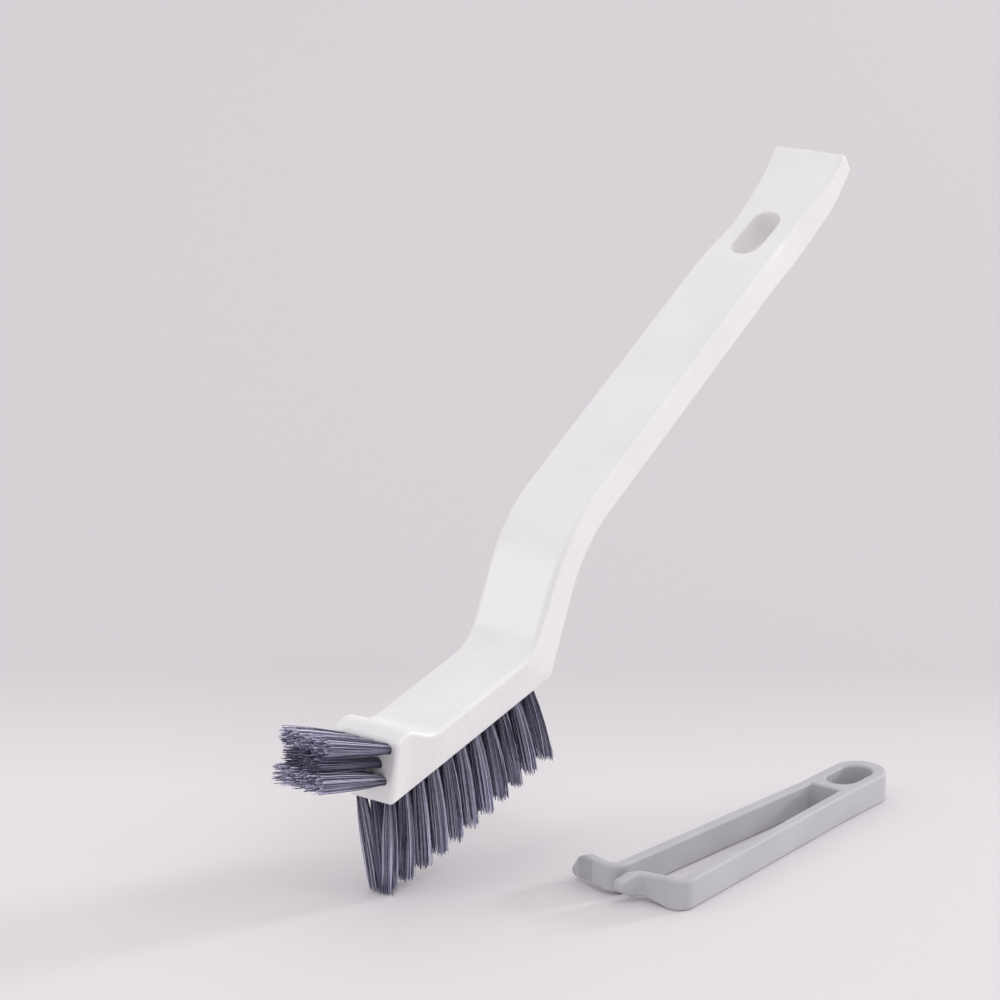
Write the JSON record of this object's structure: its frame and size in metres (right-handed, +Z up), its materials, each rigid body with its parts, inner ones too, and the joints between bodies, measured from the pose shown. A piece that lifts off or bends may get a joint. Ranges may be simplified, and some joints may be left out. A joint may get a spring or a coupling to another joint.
{
  "type": "crevice brush",
  "caption": "Crevice brush with a narrow tufted head, bristles that also reach forward from the toe, an offset handle with a hanging slot, and sprung tongs beside it.",
  "frame": {"origin": "on the floor under the middle of the box round the brush and the tongs; the tongs lie on the floor and the lowest bristle tips are just above it", "axes": "+X from the bristled toe towards the end of the handle, +Y from the tongs towards the brush, +Z up"},
  "size_m": [0.2412, 0.0832, 0.1676],
  "materials": {
    "glossy_white_plastic": "smooth glossy moulded plastic",
    "grey_bristle": "dense dark grey filament",
    "grey_tongs_plastic": "satin moulded plastic"
  },
  "bodies": {
    "brush": {"handle_and_head": "glossy_white_plastic", "main_tuft_01_left": "grey_bristle", "main_tuft_01_middle": "grey_bristle", "main_tuft_01_right": "grey_bristle", "main_tuft_02_left": "grey_bristle", "main_tuft_02_middle": "grey_bristle", "main_tuft_02_right": "grey_bristle", "main_tuft_03_left": "grey_bristle", "main_tuft_03_middle": "grey_bristle", "main_tuft_03_right": "grey_bristle", "main_tuft_04_left": "grey_bristle", "main_tuft_04_middle": "grey_bristle", "main_tuft_04_right": "grey_bristle", "main_tuft_05_left": "grey_bristle", "main_tuft_05_middle": "grey_bristle", "main_tuft_05_right": "grey_bristle", "main_tuft_06_left": "grey_bristle", "main_tuft_06_middle": "grey_bristle", "main_tuft_06_right": "grey_bristle", "main_tuft_07_left": "grey_bristle", "main_tuft_07_middle": "grey_bristle", "main_tuft_07_right": "grey_bristle", "main_tuft_08_left": "grey_bristle", "main_tuft_08_middle": "grey_bristle", "main_tuft_08_right": "grey_bristle", "main_tuft_09_left": "grey_bristle", "main_tuft_09_middle": "grey_bristle", "main_tuft_09_right": "grey_bristle", "main_tuft_10_left": "grey_bristle", "main_tuft_10_middle": "grey_bristle", "main_tuft_10_right": "grey_bristle", "main_tuft_11_left": "grey_bristle", "main_tuft_11_middle": "grey_bristle", "main_tuft_11_right": "grey_bristle", "nose_tuft_top_1": "grey_bristle", "nose_tuft_top_2": "grey_bristle", "nose_tuft_top_3": "grey_bristle", "nose_tuft_top_4": "grey_bristle", "nose_tuft_middle_1": "grey_bristle", "nose_tuft_middle_2": "grey_bristle", "nose_tuft_middle_3": "grey_bristle", "nose_tuft_bottom_1": "grey_bristle", "nose_tuft_bottom_2": "grey_bristle", "nose_tuft_bottom_3": "grey_bristle", "nose_tuft_bottom_4": "grey_bristle"},
    "tongs": {"tongs_ring": "grey_tongs_plastic"},
    "far_arm": {"tongs_arm_far": "grey_tongs_plastic"},
    "near_arm": {"tongs_arm_near": "grey_tongs_plastic"}
  },
  "joints": [
    {"name": "tongs_lift", "type": "slide", "parent": "brush", "child": "tongs", "axis": [0, 0, 1], "range_m": [0, 0.1]},
    {"name": "far_arm_squeeze", "type": "hinge", "parent": "tongs", "child": "far_arm", "pos_m": [0.03084, -0.02671, 0], "axis": [0, 0, 1], "range_deg": [0, 0.4], "stiffness_Nm_per_rad": 0.8},
    {"name": "near_arm_squeeze", "type": "hinge", "parent": "tongs", "child": "near_arm", "pos_m": [0.03056, -0.03911, 0], "axis": [0, 0, 1], "range_deg": [-0.4, 0], "stiffness_Nm_per_rad": 0.8}
  ],
  "couplings": [
    {"joint": "near_arm_squeeze", "follows": "far_arm_squeeze", "ratio": -1}
  ]
}
